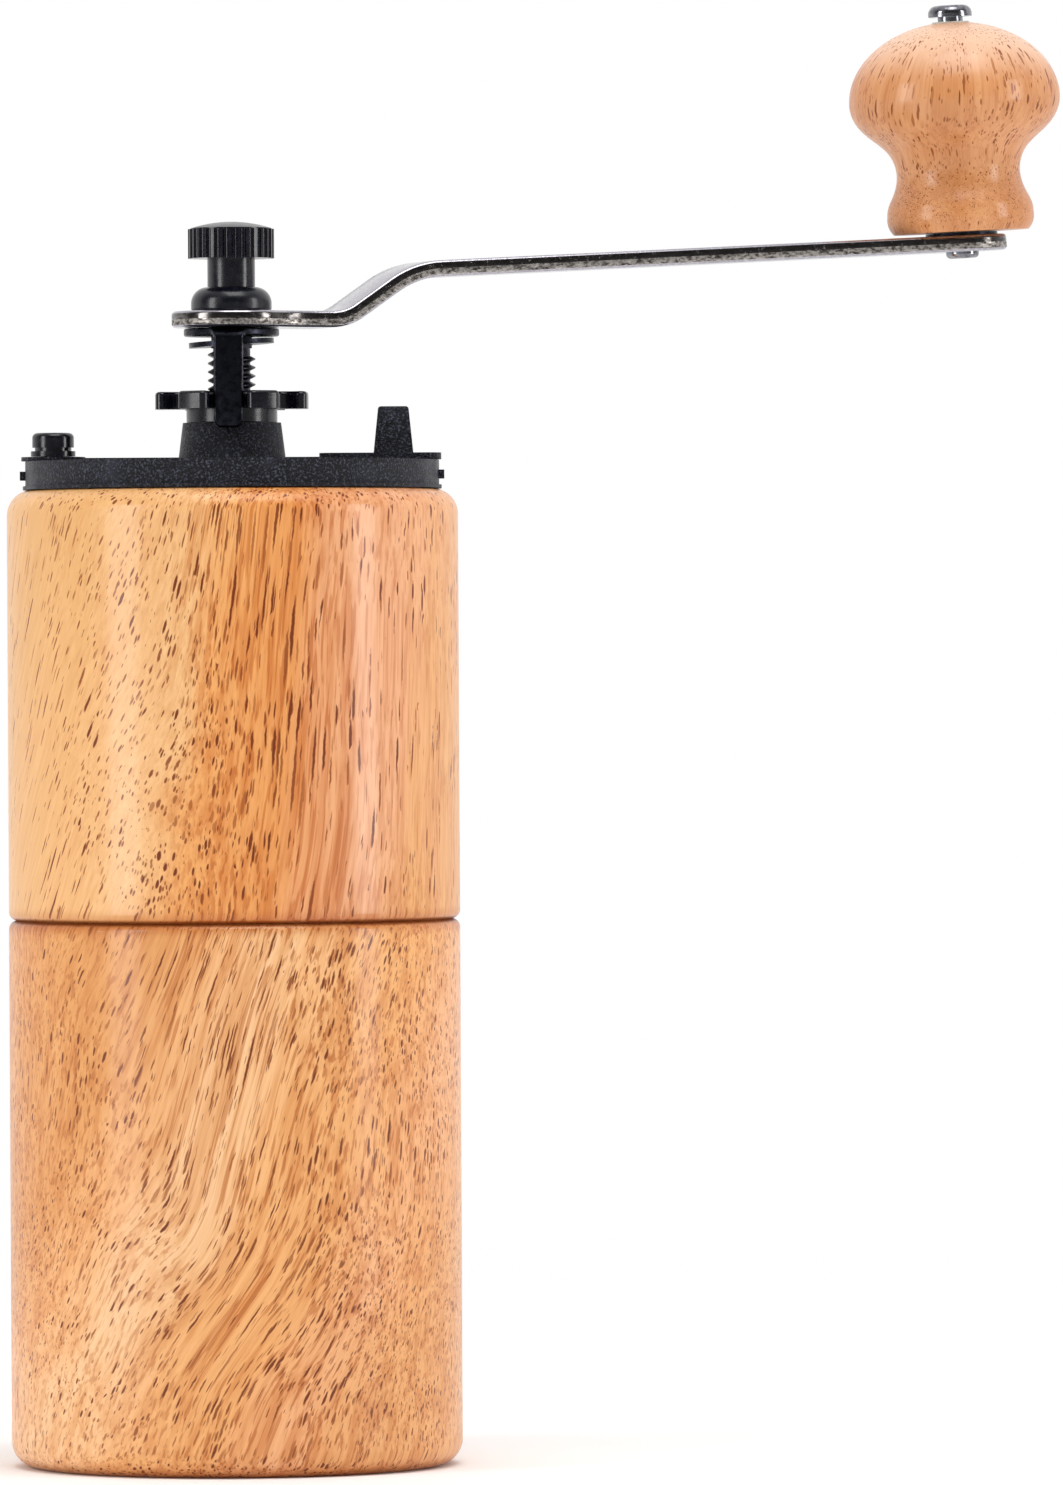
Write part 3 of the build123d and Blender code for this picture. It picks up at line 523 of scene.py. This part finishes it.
finishedNodes = {
    "cup_wood": ("cup_body",),
    "hopper_wood": ("hopper_body",),
    "knob_wood": ("handle_knob",),
    "frame_plastic": ("top_frame", "hopper_lid"),
    "gloss_plastic": ("lid_stud", "adjusting_nut", "cap_nut"),
    "carrier_plastic": ("burr_carrier", "burr_retaining_ring", "burr_core"),
    "rubber": ("spigot_o_ring",),
    "ceramic": ("outer_burr", "inner_burr"),
    "bush": ("lower_bush", "upper_bush", "knob_sleeve"),
    "arm_steel": ("crank_arm",),
    "axle_steel": ("knob_axle",),
    "zinc_steel": ("retaining_ring_screws", "spring_upper_washer", "spring_lower_washer", "burr_washer",
                   "burr_screw", "burr_spring"),
    "black_steel": ("drive_shaft", "spring_washer", "lock_plate", "knob_washer"),
    "insert_brass": ("cap_nut_insert",),
}
for key, nodeNames in finishedNodes.items():
    for nodeName in nodeNames:
        nodeMesh = frame["nodes"][nodeName].data
        nodeMesh.materials.clear()
        nodeMesh.materials.append(finishes[key])
print("finishes on", sum(map(len, finishedNodes.values())), "nodes")


# ---- what the two pressed plates share

hexWidth = 0.0049  # the drive hexagon's hole, across flats
hexTurn = math.radians(30)
smoothAngle = math.radians(40)
plateCut = {"depth": 0.02, "bevelSegments": 4, "bevelAngle": math.radians(65)}  # hexagon corners stay sharp


def blendPoint(radius, halfWidth, blend):  # centre of the concave corner between a round end and the strip
    away = math.sqrt((radius + blend) ** 2 - (halfWidth + blend) ** 2)
    return away, halfWidth + blend


def endHalfWidth(local, radius, blend, width):  # local runs from the round end's centre along the strip
    away, up = blendPoint(radius, width / 2, blend)
    if local <= away * radius / (radius + blend):
        return math.sqrt(max(radius ** 2 - local ** 2, 0.0))
    if local < away:
        return up - math.sqrt(blend ** 2 - (away - local) ** 2)
    return width / 2


def mirrored(near):  # closes an outline from its lower half, without repeating points on the centre line
    onLine = 1e-7
    return near + [(x, -y) for x, y in reversed(near) if abs(y) > onLine]


def makePlate(name, outline, layers, finishNames, edgeRound, holes):
    # a flat plate standing on z 0, drawn from its outline, with its edges rounded and its holes cut
    mesh = bpy.data.meshes.new(name)
    mesh.from_pydata([(x, y, 0) for x, y in outline], [], [range(len(outline))])
    for finish in finishNames:
        mesh.materials.append(finishes[finish])
    piece = bpy.data.objects.new(name, mesh)
    bpy.context.scene.collection.objects.link(piece)
    makeActive(piece)
    bpy.ops.object.mode_set(mode="EDIT")
    bpy.ops.mesh.select_all(action="SELECT")
    for layer in layers:
        bpy.ops.mesh.extrude_region_move(TRANSFORM_OT_translate={"value": (0, 0, layer)})
    bpy.ops.mesh.select_all(action="SELECT")
    bpy.ops.mesh.normals_make_consistent(inside=False)
    bpy.ops.object.mode_set(mode="OBJECT")
    for sides, radius, place, spin in holes:
        deselectAll()
        bpy.ops.mesh.primitive_cylinder_add(vertices=sides, radius=radius, depth=plateCut["depth"],
                                            location=(place, 0, 0), rotation=(0, 0, spin))
        cutWith(piece, bpy.context.object)
    bevel = piece.modifiers.new("edge", "BEVEL")
    bevel.width = edgeRound
    bevel.segments = plateCut["bevelSegments"]
    bevel.angle_limit = plateCut["bevelAngle"]
    bevel.use_clamp_overlap = False
    makeActive(piece)
    bpy.ops.object.modifier_apply(modifier="edge")
    return piece


def sliceAlong(piece, low, high, count):  # edges across the strip, for the bends to follow
    makeActive(piece)
    bpy.ops.object.mode_set(mode="EDIT")
    for i in range(count):
        place = low + (high - low) * i / (count - 1)
        bpy.ops.mesh.select_all(action="SELECT")
        bpy.ops.mesh.bisect(plane_co=(place, 0, 0), plane_no=(1, 0, 0))
    bpy.ops.object.mode_set(mode="OBJECT")


def standPlate(piece, height, turn):
    makeActive(piece)
    bpy.ops.object.shade_smooth_by_angle(angle=smoothAngle)
    piece.data.transform(Matrix.Translation((0, 0, height)) @ Matrix.Rotation(turn, 4, "Z"))


# ---- crank arm, pressed from strip steel: burnished upper half of its edge, torn lower half

arm = {
    "hubRadius": 0.00815, "hubFlat": 0.0154, "rise": 0.00685, "riseRun": 0.010, "width": 0.0104,
    "padRadius": 0.0062, "hubBlend": 0.012, "padBlend": 0.028, "hubBend": 0.008, "topBend": 0.012,
    "edgeRound": 0.00050, "burnished": 0.50, "step": 0.0009, "fineLength": 0.03, "coarser": 4,
    "flatSlope": 0.2, "axleRadius": 0.00176, "bendCuts": 30, "faceGap": 0.0001, "hubCuts": 20, "padCuts": 16,
}


def armHalfWidth(x, reach):
    if x < reach / 2:
        return endHalfWidth(x, arm["hubRadius"], arm["hubBlend"], arm["width"])
    return endHalfWidth(reach - x, arm["padRadius"], arm["padBlend"], arm["width"])


def armOutline(reach):
    hub, pad, step = arm["hubRadius"], arm["padRadius"], arm["step"]
    quarter = math.pi / 2
    xs = [-hub * math.cos(quarter * i / arm["hubCuts"]) for i in range(arm["hubCuts"] + 1)]
    while xs[-1] < reach - step:
        nearEnd = xs[-1] < arm["fineLength"] or xs[-1] > reach - arm["fineLength"]
        xs.append(xs[-1] + (step if nearEnd else step * arm["coarser"]))
    xs += [reach + pad * math.sin(quarter * i / arm["padCuts"]) for i in range(arm["padCuts"] + 1)]
    return mirrored([(x, -armHalfWidth(x, reach)) for x in xs])


def armPath(x, slope):
    # height and tilt of the arm's lower face at a distance from the shaft
    climb = math.atan2(arm["rise"], arm["riseRun"])
    foot = arm["hubFlat"] - arm["hubBend"] * math.tan(climb / 2)
    if x <= foot:
        return 0.0, 0.0
    if x <= foot + arm["hubBend"] * math.sin(climb):
        tilt = math.asin((x - foot) / arm["hubBend"])
        return arm["hubBend"] * (1 - math.cos(tilt)), tilt
    reach = arm["topBend"] * math.tan((climb - slope) / 2)
    top = Vector((arm["hubFlat"] + arm["riseRun"], arm["rise"]))
    start = top - reach * Vector((math.cos(climb), math.sin(climb)))
    centre = start + arm["topBend"] * Vector((math.sin(climb), -math.cos(climb)))
    if x <= start.x:
        return start.y - (start.x - x) * math.tan(climb), climb
    if x <= centre.x - arm["topBend"] * math.sin(slope):
        tilt = math.asin((centre.x - x) / arm["topBend"])
        return centre.y + arm["topBend"] * math.cos(tilt), tilt
    return top.y + (x - top.x) * math.tan(slope), slope


def makeArm():
    joint = next(j for j in frame["joints"] if j["name"] == "knob_turn")
    padPoint, axis = Vector(joint["pos_m"]), Vector(joint["axis"])
    reach, turn = math.hypot(padPoint.x, padPoint.y), math.atan2(padPoint.y, padPoint.x)
    slope = math.acos(axis.z)
    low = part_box("crank_arm")[0].z
    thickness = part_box("cap_nut")[0].z - low - arm["faceGap"]
    burnishedFrom = thickness * (1 - arm["burnished"])
    holes = ((6, hexWidth / math.sqrt(3), 0.0, hexTurn - turn), (32, arm["axleRadius"], reach, 0.0))
    piece = makePlate("crankArm", armOutline(reach), (burnishedFrom, thickness - burnishedFrom),
                      ("arm_steel", "burnished_edge", "torn_edge"), arm["edgeRound"], holes)
    start = arm["hubFlat"] - arm["hubBend"] / 2
    sliceAlong(piece, start, start + arm["riseRun"] + arm["topBend"], arm["bendCuts"])
    for face in piece.data.polygons:
        flat = abs(face.normal.z) > arm["flatSlope"]
        face.material_index = 0 if flat else (1 if face.center.z > burnishedFrom else 2)
    for vertex in piece.data.vertices:
        x, y, lift = vertex.co
        z, tilt = armPath(x, slope)
        vertex.co = (x - math.sin(tilt) * lift, y, z + math.cos(tilt) * lift)
    standPlate(piece, low, turn)
    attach(piece, "crank")
    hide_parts("crank_arm")
    print("crank arm:", len(piece.data.polygons), "faces")


# ---- lock plate, pressed from thin black steel, its leg folded down over the adjusting nut

lock = {
    "radius": 0.0065, "thickness": 0.0011, "legWidth": 0.0039, "blend": 0.0040, "bend": 0.0016,
    "spread": 0.0595, "kneeOut": 0.001, "cornerDrop": 0.0011, "cornerCut": 0.0007, "edgeRound": 0.00030,
    "azimuth": math.radians(268), "bendCuts": 14, "discCuts": 16, "step": 0.0003,
}


def lockOutline(bendEnd, end):
    half, drop, cut = lock["legWidth"] / 2, lock["cornerDrop"], lock["cornerCut"]
    quarter = math.pi / 2
    xs = [-lock["radius"] * math.cos(quarter * i / lock["discCuts"]) for i in range(lock["discCuts"] + 1)]
    while xs[-1] < bendEnd:
        xs.append(xs[-1] + lock["step"])
    near = [(x, -endHalfWidth(x, lock["radius"], lock["blend"], lock["legWidth"])) for x in xs]
    near += [(end - drop, -half), (end - drop / 4, cut / 2 - half), (end, cut - half)]
    return mirrored(near)


def makeLockPlate():
    low, high = (corner.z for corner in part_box("lock_plate"))
    thickness, bend = lock["thickness"], lock["bend"]
    fold = math.pi / 2 - lock["spread"]
    bendStart = lock["radius"] + lock["kneeOut"] - bend * math.tan(fold / 2)
    bendEnd = bendStart + bend * fold
    end = bendEnd + (high - low - bend * (1 - math.cos(fold))) / math.sin(fold)
    hexHole = (6, hexWidth / math.sqrt(3), 0.0, hexTurn - lock["azimuth"])
    piece = makePlate("lockPlate", lockOutline(bendEnd, end), (thickness,), ("black_steel",),
                      lock["edgeRound"], (hexHole,))
    sliceAlong(piece, bendStart, bendEnd, lock["bendCuts"])
    for vertex in piece.data.vertices:
        x, y, lift = vertex.co
        if x > bendStart:
            turned = min((x - bendStart) / bend, fold)
            away = max(x - bendEnd, 0.0)
            radius = bend + lift - thickness
            vertex.co = (bendStart + radius * math.sin(turned) + away * math.cos(fold), y,
                         thickness - bend + radius * math.cos(turned) - away * math.sin(fold))
    standPlate(piece, high - thickness, lock["azimuth"])
    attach(piece, "lock")
    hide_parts("lock_plate")
    print("lock plate:", len(piece.data.polygons), "faces")


makeLockPlate()
makeArm()


# ---- stage

stage = {
    "floorHalf": 6.0, "litRadius": (0.16, 0.60), "paper": srgb(250, 250, 250), "shade": (0.85, 0.85, 0.86, 1),
    "shading": 0.04, "roughness": 0.9, "white": 1.0,
}


def makeStage():
    # paper near the object, evenly lit white further out
    material, g, shader, where = newMaterial("paperFloor")
    tint = g.math("MULTIPLY", g.noise(where, 3.0, detail=2.0), stage["shading"])
    g.feed(g.mix(tint, stage["paper"], stage["shade"]), shader.inputs["Base Color"])
    shader.inputs["Roughness"].default_value = stage["roughness"]
    x, y, _ = g.separate(where)
    away = g.math("SQRT", g.math("ADD", g.math("MULTIPLY", x, x), g.math("MULTIPLY", y, y)))
    far = g.remap(away, *stage["litRadius"])
    glow = g.add("ShaderNodeEmission")
    glow.inputs["Strength"].default_value = stage["white"]
    blend = g.add("ShaderNodeMixShader")
    output = shader.outputs[0].links[0].to_node
    g.feed(far, blend.inputs[0])
    g.feed(shader.outputs[0], blend.inputs[1])
    g.feed(glow.outputs[0], blend.inputs[2])
    g.feed(blend.outputs[0], output.inputs[0])
    deselectAll()
    bpy.ops.mesh.primitive_plane_add(size=2 * stage["floorHalf"], location=(0, 0, 0))
    floor = bpy.context.object
    floor.name = "paperFloor"
    floor.data.materials.append(material)


def addSoftbox(name, azimuth, elevation, distance, width, height, power):
    # azimuth 0 stands where the viewer does, positive turns towards +X
    a, e = math.radians(azimuth), math.radians(elevation)
    aim = Vector((0, 0, lightAimHeight))
    place = Vector((math.sin(a) * math.cos(e), -math.cos(a) * math.cos(e), math.sin(e))) * distance + aim
    bpy.ops.object.light_add(type="AREA", location=place)
    light = bpy.context.object
    light.name = name
    light.data.shape = "RECTANGLE"
    light.data.size = width
    light.data.size_y = height
    light.data.energy = power
    light.rotation_euler = (aim - place).to_track_quat("-Z", "Y").to_euler()


lightAimHeight = 0.1
lights = [  # name, azimuth and elevation in degrees, distance, width and height in metres, power in watts
    ("leftSoftbox", -56, 12, 1.3, 0.40, 1.0, 8.0),
    ("rightSoftbox", 72, 8, 1.3, 0.30, 1.0, 7.0),
    ("topSoftbox", 20, 70, 1.5, 1.0, 1.0, 11.0),
]
surround = {  # what light and reflections meet; the viewer sees white
    "front": 0.10, "back": 1.0, "top": 0.75, "fade": (-0.15, 0.35), "topFade": (0.45, 0.9),
}


def makeLights():
    for values in lights:
        addSoftbox(*values)
    world = bpy.data.worlds.new("studio")
    bpy.context.scene.world = world
    world.use_nodes = True
    g = Graph(world.node_tree)
    background = world.node_tree.nodes["Background"]
    _, y, z = g.separate(g.add("ShaderNodeTexCoord").outputs["Generated"])
    level = g.remap(y, *surround["fade"], surround["front"], surround["back"])
    level = g.math("MAXIMUM", level, g.remap(z, *surround["topFade"], 0.0, surround["top"]))
    seen = g.add("ShaderNodeLightPath").outputs["Is Camera Ray"]
    g.feed((1, 1, 1, 1), background.inputs[0])
    g.feed(g.math("MAXIMUM", level, seen), background.inputs[1])


camera = {
    "distance": 1.636, "height": 0.1094, "across": 0.0406, "pitch": 0.39, "roll": 0.30, "lens": 290.9,
    "sensor": 36.0, "sight": 50,
}


def makeCamera():
    data = bpy.data.cameras.new("viewCamera")
    data.lens = camera["lens"]
    data.sensor_width = camera["sensor"]
    data.clip_end = camera["sight"]
    view = bpy.data.objects.new("viewCamera", data)
    bpy.context.scene.collection.objects.link(view)
    view.matrix_world = (Matrix.Translation((camera["across"], -camera["distance"], camera["height"]))
                         @ Matrix.Rotation(math.radians(90 - camera["pitch"]), 4, "X")
                         @ Matrix.Rotation(math.radians(-camera["roll"]), 4, "Z"))
    bpy.context.scene.camera = view


makeStage()
makeLights()
makeCamera()
bpy.context.scene.view_settings.view_transform = "Standard"
print("stage, lights and camera ready")
